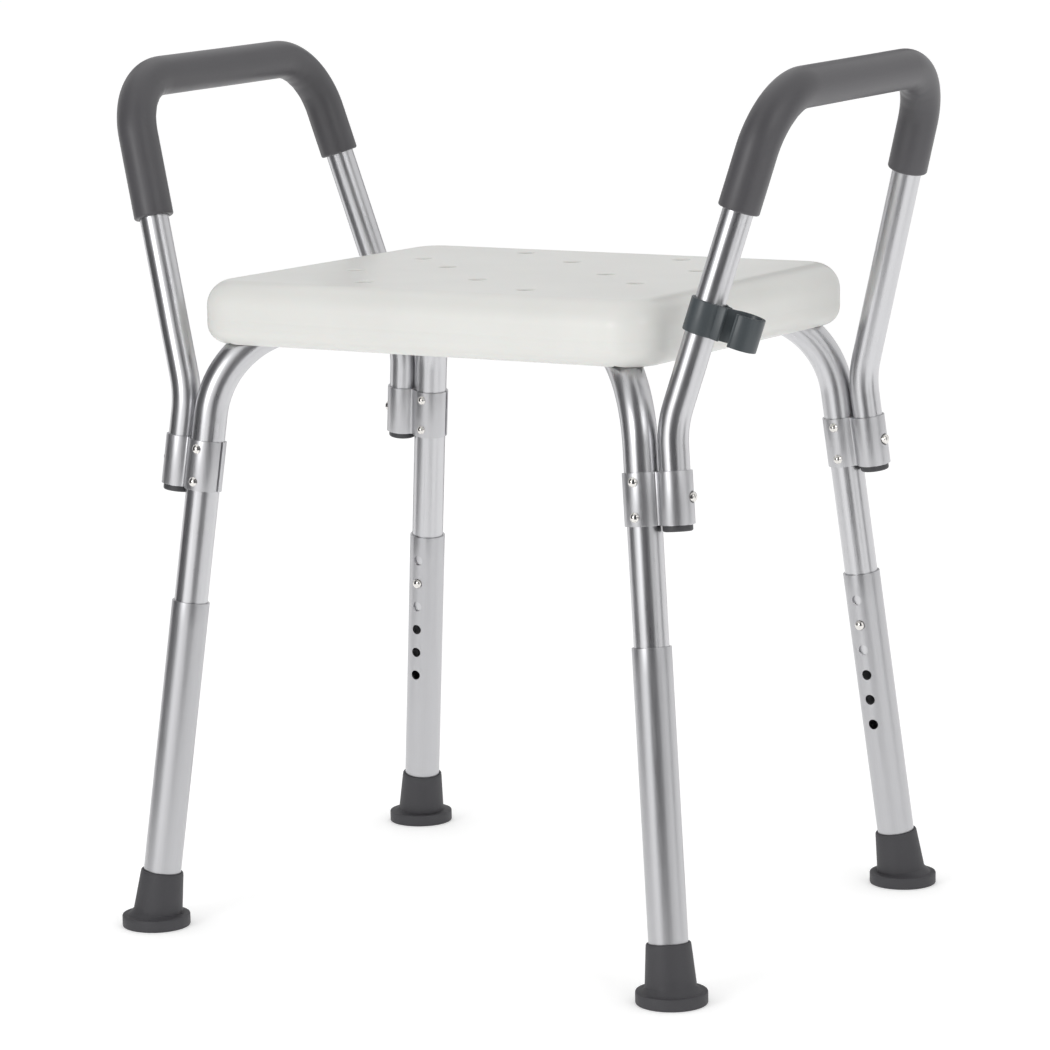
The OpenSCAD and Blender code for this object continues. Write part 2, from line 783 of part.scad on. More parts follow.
seat();
leg_frame_a();
leg_frame_b();
cross_rivet();
seat_screws();
seat_washers();
seat_inserts();
color(sleeve_colour) bracket(FL);  // bracket_fl
color(sleeve_colour) bracket(FR);  // bracket_fr
color(sleeve_colour) bracket(RL);  // bracket_rl
color(sleeve_colour) bracket(RR);  // bracket_rr
bracket_rivets();
arm_tube(-1);  // arm_tube_left
arm_tube(1);  // arm_tube_right
arm_grip(-1);  // arm_grip_left
arm_grip(1);  // arm_grip_right
arm_plugs(-1);  // arm_plugs_left
arm_plugs(1);  // arm_plugs_right
arm_springs(-1);  // arm_springs_left
arm_springs(1);  // arm_springs_right
arm_button(FL);  // arm_button_fl
arm_button(FR);  // arm_button_fr
arm_button(RL);  // arm_button_rl
arm_button(RR);  // arm_button_rr
lower_leg(FL);  // lower_leg_fl
lower_leg(FR);  // lower_leg_fr
lower_leg(RL);  // lower_leg_rl
lower_leg(RR);  // lower_leg_rr
foot(FL);  // foot_fl
foot(FR);  // foot_fr
foot(RL);  // foot_rl
foot(RR);  // foot_rr
foot_washer(FL);  // foot_washer_fl
foot_washer(FR);  // foot_washer_fr
foot_washer(RL);  // foot_washer_rl
foot_washer(RR);  // foot_washer_rr
leg_button(FL);  // leg_button_fl
leg_button(FR);  // leg_button_fr
leg_button(RL);  // leg_button_rl
leg_button(RR);  // leg_button_rr
leg_springs();
hose_clip();
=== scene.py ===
import math

import bpy
import bmesh
from mathutils import Matrix, Vector, noise


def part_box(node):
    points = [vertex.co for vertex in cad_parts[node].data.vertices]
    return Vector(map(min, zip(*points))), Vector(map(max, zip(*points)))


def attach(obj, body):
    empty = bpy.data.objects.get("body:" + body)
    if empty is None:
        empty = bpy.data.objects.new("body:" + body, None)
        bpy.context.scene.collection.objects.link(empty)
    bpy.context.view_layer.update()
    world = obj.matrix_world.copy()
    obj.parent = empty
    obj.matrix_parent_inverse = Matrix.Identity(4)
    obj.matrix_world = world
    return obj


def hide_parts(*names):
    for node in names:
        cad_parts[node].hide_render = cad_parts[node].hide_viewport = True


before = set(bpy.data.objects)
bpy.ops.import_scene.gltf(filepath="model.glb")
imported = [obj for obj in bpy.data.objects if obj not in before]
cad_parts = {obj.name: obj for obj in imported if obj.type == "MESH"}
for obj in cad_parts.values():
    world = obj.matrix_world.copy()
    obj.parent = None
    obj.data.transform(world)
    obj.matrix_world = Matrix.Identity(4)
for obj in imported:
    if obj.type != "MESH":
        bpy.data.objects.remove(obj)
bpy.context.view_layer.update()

MM = 0.001
Z = Vector((0, 0, 1))
CORNERS = {"fl": (-1, -1), "fr": (1, -1), "rl": (-1, 1), "rr": (1, 1)}

# ---------------------------------------------------------------- camera

CAMERA_TARGET = Vector((-0.1486, 0.2409, 0.251))
CAMERA_AZIMUTH = math.radians(30.92)
CAMERA_ELEVATION = math.radians(9.49)
CAMERA_ROLL = math.radians(-0.847)
CAMERA_DISTANCE = 3.3237
CAMERA_LENS = 135.86
CAMERA_SENSOR = 36
CAMERA_REACH = 200


def add_camera():
    flat = math.cos(CAMERA_ELEVATION)
    back = Vector((math.sin(CAMERA_AZIMUTH) * flat, -math.cos(CAMERA_AZIMUTH) * flat,
                   math.sin(CAMERA_ELEVATION)))
    level = (-back).cross(Z).normalized()
    upright = level.cross(-back)
    right = math.cos(CAMERA_ROLL) * level + math.sin(CAMERA_ROLL) * upright
    up = -math.sin(CAMERA_ROLL) * level + math.cos(CAMERA_ROLL) * upright
    data = bpy.data.cameras.new("camera")
    data.lens = CAMERA_LENS
    data.sensor_width = CAMERA_SENSOR
    data.clip_end = CAMERA_REACH
    camera = bpy.data.objects.new("camera", data)
    bpy.context.scene.collection.objects.link(camera)
    turn = Matrix((right, up, back)).transposed().to_4x4()
    camera.matrix_world = Matrix.Translation(CAMERA_TARGET + back * CAMERA_DISTANCE) @ turn
    bpy.context.scene.camera = camera


# ---------------------------------------------------------------- materials


class Nodes:
    """A new material's node tree, with short ways to add and join nodes."""

    def __init__(self, name):
        self.material = bpy.data.materials.new(name)
        self.material.use_nodes = True
        self.tree = self.material.node_tree
        self.tree.nodes.clear()
        self.out = self.add("OutputMaterial")
        self.shader = self.add("BsdfPrincipled")
        self.join(self.shader, "BSDF", self.out, "Surface")

    def add(self, kind, **values):
        node = self.tree.nodes.new("ShaderNode" + kind)
        for key, value in values.items():
            setattr(node, key, value)
        return node

    def join(self, a, out, b, into):
        self.tree.links.new(a.outputs[out], b.inputs[into])

    def set(self, **values):
        for key, value in values.items():
            self.shader.inputs[key.replace("_", " ")].default_value = value

    def coordinates(self, kind, scale):
        where = self.add("TexCoord")
        mapping = self.add("Mapping")
        mapping.inputs["Scale"].default_value = scale
        self.join(where, kind, mapping, "Vector")
        return mapping

    def noise(self, mapping, scale, detail=4.0, rough=0.55):
        node = self.add("TexNoise")
        node.inputs["Scale"].default_value = scale
        node.inputs["Detail"].default_value = detail
        node.inputs["Roughness"].default_value = rough
        self.join(mapping, "Vector", node, "Vector")
        return node

    def spread(self, source, low, high, at=(0.3, 0.7)):
        node = self.add("MapRange")
        node.inputs["From Min"].default_value = at[0]
        node.inputs["From Max"].default_value = at[1]
        node.inputs["To Min"].default_value = low
        node.inputs["To Max"].default_value = high
        self.join(source, 0, node, "Value")
        return node

    def tint(self, source, dark, light, at=(0.3, 0.7)):
        node = self.add("ValToRGB")
        ramp = node.color_ramp
        ramp.elements[0].position, ramp.elements[1].position = at
        ramp.elements[0].color = (*dark, 1)
        ramp.elements[1].color = (*light, 1)
        self.join(source, 0, node, "Fac")
        self.join(node, "Color", self.shader, "Base Color")
        return node

    def bump(self, source, height, strength=1.0, under=None):
        node = self.add("Bump")
        node.inputs["Distance"].default_value = height
        node.inputs["Strength"].default_value = strength
        self.join(source, 0, node, "Height")
        if under:
            self.join(under, "Normal", node, "Normal")
        self.join(node, "Normal", self.shader, "Normal")
        return node


# repeats per metre of the brushed metal's scratches, clouds and specks
SCRATCH_SCALE, CLOUD_SCALE, SPECK_SCALE = 1500, 22, 900
SCRATCH_SHARE = 0.7


def aluminium(name, base, rough, grain, kind="UV", along=(1.0, 0.02, 1.0)):
    """Drawn tube: fine scratches along its length over slow changes of sheen."""
    n = Nodes(name)
    n.set(Metallic=1.0)
    lines = n.noise(n.coordinates(kind, along), SCRATCH_SCALE, 3, 0.6)
    soft = n.noise(n.coordinates("Object", (1, 1, 1)), CLOUD_SCALE, 3)
    speck = n.noise(n.coordinates("Object", (1, 1, 1)), SPECK_SCALE, 2)
    sheen = n.add("Math", operation="MULTIPLY_ADD")
    n.join(lines, 0, sheen, 0)
    sheen.inputs[1].default_value = SCRATCH_SHARE
    cloud = n.add("Math", operation="MULTIPLY")
    n.join(soft, 0, cloud, 0)
    cloud.inputs[1].default_value = 1 - SCRATCH_SHARE
    n.join(cloud, 0, sheen, 2)
    n.join(n.spread(sheen, rough * 0.82, rough * 1.2), 0, n.shader, "Roughness")
    n.tint(sheen, [c * 0.93 for c in base], base)
    first = n.bump(lines, grain, 0.22)
    n.bump(speck, grain * 0.8, 0.35, first)
    return n.material


def moulded(name, base, rough, grain_size, grain_height, mottle=0.12, **more):
    """Moulded plastic or rubber: a fine eggshell grain with slight uneven sheen."""
    n = Nodes(name)
    n.set(**more)
    place = n.coordinates("Object", (1, 1, 1))
    cloud = n.noise(place, 14, 4)
    grain = n.noise(place, 1 / grain_size, 3)
    n.tint(cloud, [c * (1 - mottle) for c in base], [c * (1 + mottle * 0.4) for c in base])
    n.join(n.spread(grain, rough * 0.9, rough * 1.12), 0, n.shader, "Roughness")
    wide = n.bump(cloud, grain_height * 3, 0.25)
    n.bump(grain, grain_height, 0.7, wide)
    return n.material


def foam():
    """Closed-cell foam sleeve: tiny cells under a worn satin skin."""
    n = Nodes("foam")
    n.set(Sheen_Weight=0.08, Sheen_Roughness=0.4, Specular_IOR_Level=0.5)
    place = n.coordinates("Object", (1, 1, 1))
    cells = n.add("TexVoronoi")
    cells.inputs["Scale"].default_value = 1400
    n.join(place, "Vector", cells, "Vector")
    skin = n.noise(place, 260, 4)
    cloud = n.noise(place, 11, 3)
    n.tint(cloud, (0.060, 0.058, 0.063), (0.074, 0.072, 0.078))
    n.join(n.spread(cloud, 0.38, 0.48), 0, n.shader, "Roughness")
    under = n.bump(skin, 0.00012, 0.5)
    n.bump(cells, 0.00006, 0.45, under)
    return n.material


def metal(name, base, rough, grain_size, grain_height):
    """Small plated or turned metal parts."""
    n = Nodes(name)
    n.set(Metallic=1.0)
    place = n.coordinates("Object", (1, 1, 1))
    fine = n.noise(place, 1 / grain_size, 3)
    n.tint(fine, [c * 0.9 for c in base], base)
    n.join(n.spread(fine, rough * 0.8, rough * 1.25), 0, n.shader, "Roughness")
    n.bump(fine, grain_height, 0.4)
    return n.material


M = {
    "tube": aluminium("tube", (0.64, 0.64, 0.655), 0.30, 0.000010),
    "sleeve": aluminium("sleeve", (0.56, 0.56, 0.575), 0.37, 0.000016),
    "extrusion": aluminium("extrusion", (0.60, 0.60, 0.615), 0.40, 0.000016, "Object",
                           (1.0, 1.0, 0.03)),
    "seat": moulded("seat", (0.67, 0.67, 0.645), 0.34, 0.0011, 0.00002, 0.03,
                    Subsurface_Weight=0.06, Subsurface_Scale=0.004,
                    Specular_IOR_Level=0.42),
    "rubber": moulded("rubber", (0.046, 0.045, 0.05), 0.6, 0.0007, 0.00005, 0.12),
    "plug": moulded("plug", (0.05, 0.05, 0.054), 0.5, 0.0008, 0.00003, 0.1),
    "clip": moulded("clip", (0.052, 0.062, 0.068), 0.36, 0.0009, 0.00003, 0.08),
    "foam": foam(),
    "fastener": metal("fastener", (0.83, 0.81, 0.78), 0.13, 0.0004, 0.000006),
    "spring": metal("spring", (0.55, 0.56, 0.58), 0.3, 0.0006, 0.00001),
    "insert": metal("insert", (0.72, 0.56, 0.27), 0.3, 0.0005, 0.00001),
}

# ---------------------------------------------------------------- mesh helpers


def link(name, mesh, material):
    piece = bpy.data.objects.new(name, mesh)
    bpy.context.scene.collection.objects.link(piece)
    for m in material if isinstance(material, list) else [material]:
        mesh.materials.append(M[m])
    return piece


def smooth(mesh, angle=32):
    mesh.polygons.foreach_set("use_smooth", [True] * len(mesh.polygons))
    mesh.set_sharp_from_angle(angle=math.radians(angle))
    mesh.update()


def tidy_mesh(mesh, merge=0.0):
    bm = bmesh.new()
    bm.from_mesh(mesh)
    if merge:
        bmesh.ops.remove_doubles(bm, verts=bm.verts, dist=merge)
    bmesh.ops.recalc_face_normals(bm, faces=bm.faces)
    bm.to_mesh(mesh)
    bm.free()


def rings_mesh(name, rings, material, close=True, uv=None, caps=(True, True), angle=32):
    """A skin over rings of points. close joins the last ring to the first."""
    count = len(rings[0])
    verts = [p for ring in rings for p in ring]
    faces, where = [], []
    last = len(rings) if close else len(rings) - 1
    for i in range(last):
        j = (i + 1) % len(rings)
        for k in range(count):
            m = (k + 1) % count
            faces.append((i * count + k, i * count + m, j * count + m, j * count + k))
            where.append((i, k))
    if not close:
        if caps[0]:
            faces.append(tuple(range(count))[::-1])
        if caps[1]:
            faces.append(tuple((len(rings) - 1) * count + k for k in range(count)))
    mesh = bpy.data.meshes.new(name)
    mesh.from_pydata(verts, [], faces)
    if uv:
        layer = mesh.uv_layers.new(name="UVMap").data
        for face, (i, k) in zip(mesh.polygons, where):
            j = min(i + 1, len(rings) - 1) if not close else (i + 1)
            corners = ((i, k), (i, k + 1), (j, k + 1), (j, k))
            for loop, (a, b) in zip(face.loop_indices, corners):
                layer[loop].uv = uv(a, b)
    tidy_mesh(mesh)
    smooth(mesh, angle)
    return link(name, mesh, material)


def circle(centre, a, b, radius, count):
    step = math.tau / count
    return [centre + radius * (math.cos(i * step) * a + math.sin(i * step) * b)
            for i in range(count)]


def lathe(name, profile, origin, axis, material, count=40, angle=32):
    """A turned form: profile is (radius, height along the axis), from axis to axis."""
    a = axis.orthogonal().normalized()
    b = axis.cross(a)
    rings = [circle(origin + axis * h, a, b, max(r, 0.00001), count) for r, h in profile]
    piece = rings_mesh(name, rings, material, close=False, angle=angle)
    return piece


def arc(centre, radius, start, stop, steps):
    """Points of a plane arc between two bearings in degrees."""
    out = []
    for i in range(steps + 1):
        t = math.radians(start + (stop - start) * i / steps)
        out.append(Vector((centre[0] + radius * math.cos(t), centre[1] + radius * math.sin(t))))
    return out


def sweep_path(points, bends, step=3.0, spacing=0.02):
    """Samples of a route: place, direction, distance, way into the bend, share of the bend."""
    turns = []
    for i in range(1, len(points) - 1):
        way = (points[i] - points[i - 1]).normalized()
        following = (points[i + 1] - points[i]).normalized()
        turn = way.angle(following)
        axis = way.cross(following).normalized()
        turns.append((way, turn, axis.cross(way), axis, bends[i - 1] * math.tan(turn / 2)))
    samples, distance = [], 0.0
    for i in range(len(points) - 1):
        way = (points[i + 1] - points[i]).normalized()
        start = points[i] + way * (turns[i - 1][4] if i else 0)
        stop = points[i + 1] - way * (turns[i][4] if i < len(turns) else 0)
        run = (stop - start).length
        pieces = max(1, round(run / spacing))
        for k in range(pieces + (1 if i == len(points) - 2 else 0)):
            samples.append((start + way * run * k / pieces, way, distance + run * k / pieces,
                            None, 0.0))
        distance += run
        if i < len(turns):
            way, turn, inward, axis, _ = turns[i]
            centre = stop + inward * bends[i]
            count = max(4, round(math.degrees(turn) / step))
            for k in range(count):
                t = turn * k / count
                radial = Matrix.Rotation(t, 3, axis) @ -inward
                samples.append((centre + radial * bends[i], axis.cross(radial),
                                distance + bends[i] * t, -radial, t / turn))
            distance += bends[i] * turn
    return samples


def tube(name, points, bends, radius, bore, material, count=56, shape=None, lip=0.0):
    """A hollow bar along a route; shape may change the radius at (sample, bearing)."""
    samples = sweep_path(points, bends)
    length = samples[-1][2]
    if lip:
        first, last = samples[0], samples[-1]
        steps = 4
        near = [lip * (1 - math.cos(math.pi / 2 * k / steps)) for k in range(1, steps + 1)]
        head = [(first[0] + first[1] * d, first[1], d, None, 0.0) for d in near]
        tail = [(last[0] - last[1] * d, last[1], length - d, None, 0.0) for d in near[::-1]]
        samples = [first] + head + [s for s in samples[1:-1]
                                    if 2 * lip < s[2] < length - 2 * lip] + tail + [last]
    a = samples[0][1].orthogonal().normalized()
    outer, inner, at = [], [], []
    for s in samples:
        a = (a - s[1] * a.dot(s[1])).normalized()
        b = s[1].cross(a)
        ring = []
        for k in range(count):
            t = math.tau * k / count
            d = math.cos(t) * a + math.sin(t) * b
            r = radius
            edge = min(s[2], length - s[2])
            if edge < lip:
                r -= lip - math.sqrt(max(lip * lip - (lip - edge) ** 2, 0))
            if shape:
                r += shape(s, d)
            ring.append(s[0] + d * r)
        outer.append(ring)
        inner.append([s[0] + bore * (math.cos(math.tau * k / count) * a
                                     + math.sin(math.tau * k / count) * b)
                      for k in range(count)])
        at.append(s[2])
    rings = outer + inner[::-1]
    at = at + at[::-1]
    around = math.tau * radius

    def uv(i, k):
        return (around * k / count, at[i % len(at)])

    return rings_mesh(name, rings, material, close=True, uv=uv, angle=40)


def cut(piece, cutters):
    """Takes the cutters out of a piece and throws them away."""
    for cutter in cutters:
        modifier = piece.modifiers.new("cut", "BOOLEAN")
        modifier.operation = "DIFFERENCE"
        modifier.solver = "EXACT"
        modifier.object = cutter
    bpy.context.view_layer.update()
    graph = bpy.context.evaluated_depsgraph_get()
    mesh = bpy.data.meshes.new_from_object(piece.evaluated_get(graph))
    old = piece.data
    piece.modifiers.clear()
    piece.data = mesh
    bpy.data.meshes.remove(old)
    for cutter in cutters:
        bpy.data.objects.remove(cutter)
    smooth(piece.data)
    return piece


def pin(origin, axis, radius, start, stop, count=40):
    """A plain round cutter."""
    return lathe("cutter", [(0, start), (radius, start), (radius, stop), (0, stop)],
                 origin, axis, "tube", count)


def plate(name, loops, x, y, z, origin, height, bevel, material):
    """Closed plane loops, holes included, drawn out along z with broken edges."""
    curve = bpy.data.curves.new(name, "CURVE")
    curve.dimensions = "2D"
    curve.fill_mode = "BOTH"
    curve.extrude = height / 2 - bevel
    curve.bevel_depth = bevel
    curve.bevel_resolution = 2
    curve.offset = -bevel
    for loop in loops:
        spline = curve.splines.new("POLY")
        spline.points.add(len(loop) - 1)
        for point, p in zip(spline.points, loop):
            point.co = (p[0], p[1], 0, 1)
        spline.use_cyclic_u = True
    holder = bpy.data.objects.new(name, curve)
    bpy.context.scene.collection.objects.link(holder)
    bpy.context.view_layer.update()
    graph = bpy.context.evaluated_depsgraph_get()
    mesh = bpy.data.meshes.new_from_object(holder.evaluated_get(graph))
    bpy.data.objects.remove(holder)
    turn = Matrix((x, y, z)).transposed().to_4x4()
    mesh.transform(Matrix.Translation(origin + z * height / 2) @ turn)
    tidy_mesh(mesh, 0.000002)
    mesh.materials.clear()
    smooth(mesh)
    return link(name, mesh, material)


def keep(piece, body, slot, *nodes):
    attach(piece, body)
    if nodes:
        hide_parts(*nodes)
    return piece


# ---------------------------------------------------------------- the frame's geometry

FRAME_R = 12.7 * MM
FRAME_BORE = 11.5 * MM
FRAME_BEND = 76 * MM
LEG_R = 14.3 * MM
LEG_BORE = 12.8 * MM
ARM_R = 11.1 * MM
ARM_BORE = 9.9 * MM
GRIP_R = 15.1 * MM
WALL = 1.5 * MM
SLEEVE_BORE = FRAME_R + 0.02 * MM
SOCKET_BORE = ARM_R + 0.1 * MM
SOCKET_PITCH = SLEEVE_BORE + SOCKET_BORE + WALL * 0.8
SLEEVE_R = SLEEVE_BORE + WALL
SOCKET_R = SOCKET_BORE + WALL
BRACKET_Z = 336 * MM
BRACKET_H = 38 * MM
BRACKET_TOE = math.radians(6.5)
ARM_BEND_Z = 405 * MM
BUTTON_R = 3.7 * MM
BUTTON_PROUD = 3 * MM
BRACKET_SLIT = 1.2 * MM
BRACKET_FILLET = 2.2 * MM
BRACKET_HOLE_R = 4.4 * MM
RIVET_R = 3.6 * MM
RIVET_OFFSET = 12.5 * MM


def box_middle(node):
    low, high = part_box(node)
    return (low + high) / 2


class Leg:
    """One leg's axis and the arm socket beside it, from the CAD's boxes."""

    def __init__(self, key):
        self.key = key
        self.sign = CORNERS[key]
        self.foot = box_middle("foot_" + key)
        self.foot.z = 0
        self.up = (box_middle("lower_leg_" + key) - self.foot).normalized()
        outward = Vector((self.foot.x, self.foot.y, 0)).normalized()
        self.out = (outward - self.up * outward.dot(self.up)).normalized()
        self.side = self.up.cross(self.out)
        self.bearing = math.atan2(self.foot.y, self.foot.x)
        toe = math.atan2(-self.sign[1] * math.sin(BRACKET_TOE),
                         self.sign[0] * math.cos(BRACKET_TOE))
        self.socket_way = self.toward(toe)
        self.hole_way = self.toward(math.radians(-90 if self.sign[1] > 0 else 90))
        self.rivet_way = self.toward(math.radians(-90))

    def toward(self, bearing):
        t = bearing - self.bearing
        return math.cos(t) * self.out + math.sin(t) * self.side

    def at(self, height):
        return self.foot + self.up * (height / self.up.z)

    def socket(self, height):
        return self.at(height) + self.socket_way * SOCKET_PITCH


LEGS = {key: Leg(key) for key in CORNERS}
RIM_Z = 251 * MM
HOLE_PITCH = 20 * MM
HOLE_R = 4 * MM
HOLE_COUNT = 6
BUTTON_HOLE = 2
TUBE_END_Z = RIM_Z - 73 * MM
LEG_START = 8.64 * MM
JOGGLE_BEND = 45 * MM
JOGGLE_SLOPE = math.radians(21)
JOGGLE_FLAT = 22 * MM
SEAT_LOW, SEAT_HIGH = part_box("seat")
SEAT_BOTTOM, SEAT_TOP = SEAT_LOW.z, SEAT_HIGH.z
RUN_Z = SEAT_BOTTOM + FRAME_R


def leg_frame(name, ends, rise):
    """One bent tube from leg to leg under the seat, joggled up or down at the crossing."""
    points, bends = [], [FRAME_BEND] + [JOGGLE_BEND] * 4 + [FRAME_BEND]
    for leg, order in ((LEGS[ends[0]], 1), (LEGS[ends[1]], -1)):
        way = Vector((math.cos(leg.bearing), math.sin(leg.bearing), 0))
        reach = JOGGLE_FLAT + abs(rise) / math.tan(JOGGLE_SLOPE)
        half = [leg.at(TUBE_END_Z), leg.at(RUN_Z), way * reach + Z * RUN_Z,
                way * JOGGLE_FLAT + Z * (RUN_Z + rise)]
        points += half[::order]
    return keep(tube(name + "_visual", points, bends, FRAME_R, FRAME_BORE, "tube"),
                "frame", "tube", name)


def bracket(leg):
    """The double clamp: a split ring on the leg and a socket for the arm, joined by a web."""
    fillet = BRACKET_FILLET
    d = SOCKET_PITCH
    ra, rb = SLEEVE_R + fillet, SOCKET_R + fillet
    cx = (d * d + ra * ra - rb * rb) / (2 * d)
    cy = math.sqrt(ra * ra - cx * cx)
    a = math.degrees(math.atan2(cy, cx))
    b = math.degrees(math.atan2(cy, cx - d))
    slit = math.degrees(math.asin(BRACKET_SLIT / SLEEVE_R))
    slit_in = math.degrees(math.asin(BRACKET_SLIT / SLEEVE_BORE))
    outline = arc((0, 0), SLEEVE_R, 180 - slit, a, 40)
    outline += arc((cx, cy), fillet, 180 + a, 180 + b, 8)[1:]
    outline += arc((d, 0), SOCKET_R, b, -b, 48)[1:]
    outline += arc((cx, -cy), fillet, 180 - b, 180 - a, 8)[1:]
    outline += arc((0, 0), SLEEVE_R, -a, -180 + slit, 40)[1:]
    outline += arc((0, 0), SLEEVE_BORE, -180 + slit_in, 180 - slit_in, 72)
    hole = arc((d, 0), SOCKET_BORE, 0, 360, 64)[:-1]
    x = leg.socket_way
    y = leg.up.cross(x)
    name = "bracket_" + leg.key
    piece = plate(name + "_visual", [outline, hole], x, y, leg.up, leg.at(BRACKET_Z),
                  BRACKET_H, 0.25 * MM, "extrusion")
    middle = leg.socket(BRACKET_Z) + leg.up * BRACKET_H / 2
    cut(piece, [pin(middle, x, BRACKET_HOLE_R, 5 * MM, 20 * MM)])
    return keep(piece, "frame", "sleeve", name)


def domed(radius, height, base, steps=7):
    """Profile of a domed head from its base up to its crown."""
    ball = (radius * radius + height * height) / (2 * height)
    out = []
    for i in range(steps + 1):
        r = radius * (1 - i / steps)
        out.append((r, base + math.sqrt(ball * ball - r * r) - ball + height))
    return out


def bracket_rivets():
    pieces = []
    for leg in LEGS.values():
        middle = leg.at(BRACKET_Z) + leg.up * BRACKET_H / 2
        for s in (-1, 1):
            seat = SLEEVE_R - 0.7 * MM
            brim = SLEEVE_R + 0.45 * MM
            profile = [(0, seat), (RIVET_R - 0.15 * MM, seat), (RIVET_R, brim - 0.1 * MM)]
            profile += domed(RIVET_R - 0.1 * MM, 2.15 * MM, brim)
            profile = profile[:-1] + [(0.9 * MM, brim + 2.05 * MM), (0.7 * MM, brim + 1.7 * MM),
                                      (0, brim + 1.7 * MM)]
            pieces.append(lathe("rivet_%s_%d" % (leg.key, s + 1), profile,
                                middle + leg.up * s * RIVET_OFFSET, leg.rivet_way, "fastener"))
    for piece in pieces:
        keep(piece, "frame", "fastener", "bracket_rivets")


def lower_leg(leg):
    start = leg.foot + leg.up * LEG_START
    rim = leg.at(RIM_Z)
    name = "lower_leg_" + leg.key
    piece = tube(name + "_visual", [start, rim], [], LEG_R, LEG_BORE, "sleeve", 64,
                 lip=0.3 * MM)
    cut(piece, [pin(rim - leg.up * HOLE_PITCH * i, leg.hole_way, HOLE_R, 4 * MM, 20 * MM)
                for i in range(1, HOLE_COUNT + 1)])
    keep(piece, "leg_" + leg.key, "sleeve", name)


FOOT_HEIGHT = 43 * MM
FOOT_NECK = 1.9 * MM
FOOT_ROOT = 5.3 * MM
FOOT_CONE_RINGS = (11.4, 16, 22, 28, 34, 40)
# radius and height in mm: the grooved sole and flange, then the mouth and socket,
# where the radius is counted from the leg's outside
FOOT_FLANGE = ((0.1, 1.2), (9, 1.2), (10, 0), (13, 0), (14, 1.2), (16, 1.2), (17, 0), (25, 0),
               (25.7, 0.3), (26, 1), (26, 8.1), (25.7, 8.8), (25, 9.1), (22, 9.1))
FOOT_MOUTH = ((1.85, 42.2), (1.5, 42.8), (1.0, 43), (0.35, 43), (0.06, 42.6), (0.05, 38),
              (0.05, 8), (-13, 8))


def foot(leg):
    """Rubber tip: a flared boot on a round flange that stands flat on the floor."""
    name = "foot_" + leg.key
    level = (leg.out - Z * leg.out.z).normalized()
    across = Z.cross(level)
    rings, count = [], 72

    def flat_ring(r, h):
        rings.append(circle(leg.foot + Z * h, level, across, r, count))

    def tilted_ring(r, h):
        rings.append(circle(leg.foot + leg.up * h, leg.out, leg.side, r, count))

    for r, h in FOOT_FLANGE:
        flat_ring(r * MM, h * MM)
    neck, root = LEG_R + FOOT_NECK, LEG_R + FOOT_ROOT
    for h in FOOT_CONE_RINGS:
        tilted_ring(root + (neck - root) * h * MM / FOOT_HEIGHT, h * MM)
    for r, h in FOOT_MOUTH:
        tilted_ring(LEG_R + r * MM, h * MM)
    piece = rings_mesh(name + "_visual", rings, "rubber", close=False, angle=38)
    keep(piece, "leg_" + leg.key, "rubber", name)


def snap_button(name, body, origin, way, bore, tip, node):
    base = bore - 2.5 * MM
    profile = [(0, base), (BUTTON_R, base), (BUTTON_R, tip - 1.7 * MM)]
    profile += domed(BUTTON_R - 0.05 * MM, 1.6 * MM, tip - 1.6 * MM)
    keep(lathe(name, profile, origin, way, "fastener", 36), body, "fastener", node)


# ---------------------------------------------------------------- arms

ARM_HEIGHT = 643.5 * MM
ARM_RISE = 6.5 * MM
ARM_FLARE = math.radians(16.2)
ARM_CONVERGE = math.radians(6.8)
ARM_LOW_BEND = 75 * MM
ARM_TOP_BEND = 50 * MM
PLUG_DROP = 0.5 * MM
GRIP_DROP = {"fl": 106 * MM, "fr": 85 * MM, "rl": 76 * MM, "rr": 76 * MM}
# soft wrinkles inside the foam's bends: way along the bend and depth in mm
WRINKLES = ((0.22, 0.25), (0.4, 0.4), (0.56, 0.45), (0.75, 0.3))


def post_way(leg):
    return Vector((leg.sign[0] * math.tan(ARM_FLARE), -leg.sign[1] * math.tan(ARM_CONVERGE),
                   1)).normalized()


def post_at(leg, height):
    low, way = leg.socket(ARM_BEND_Z), post_way(leg)
    return low + way * ((height - low.z) / way.z)


def foam_shape(sample, way):
    """Slow waviness, with soft wrinkles and a slight pinch inside the bends."""
    place, _, _, inward, share = sample
    r = 0.12 * MM * noise.noise((place + way * GRIP_R) * 35)
    if inward is not None:
        inside = max(0.0, way.dot(inward)) ** 2
        for at, depth in WRINKLES:
            r -= depth * MM * inside * math.exp(-((share - at) / 0.035) ** 2)
        r -= 0.25 * MM * inside * math.sin(math.pi * share)
    return min(r, 0.05 * MM)


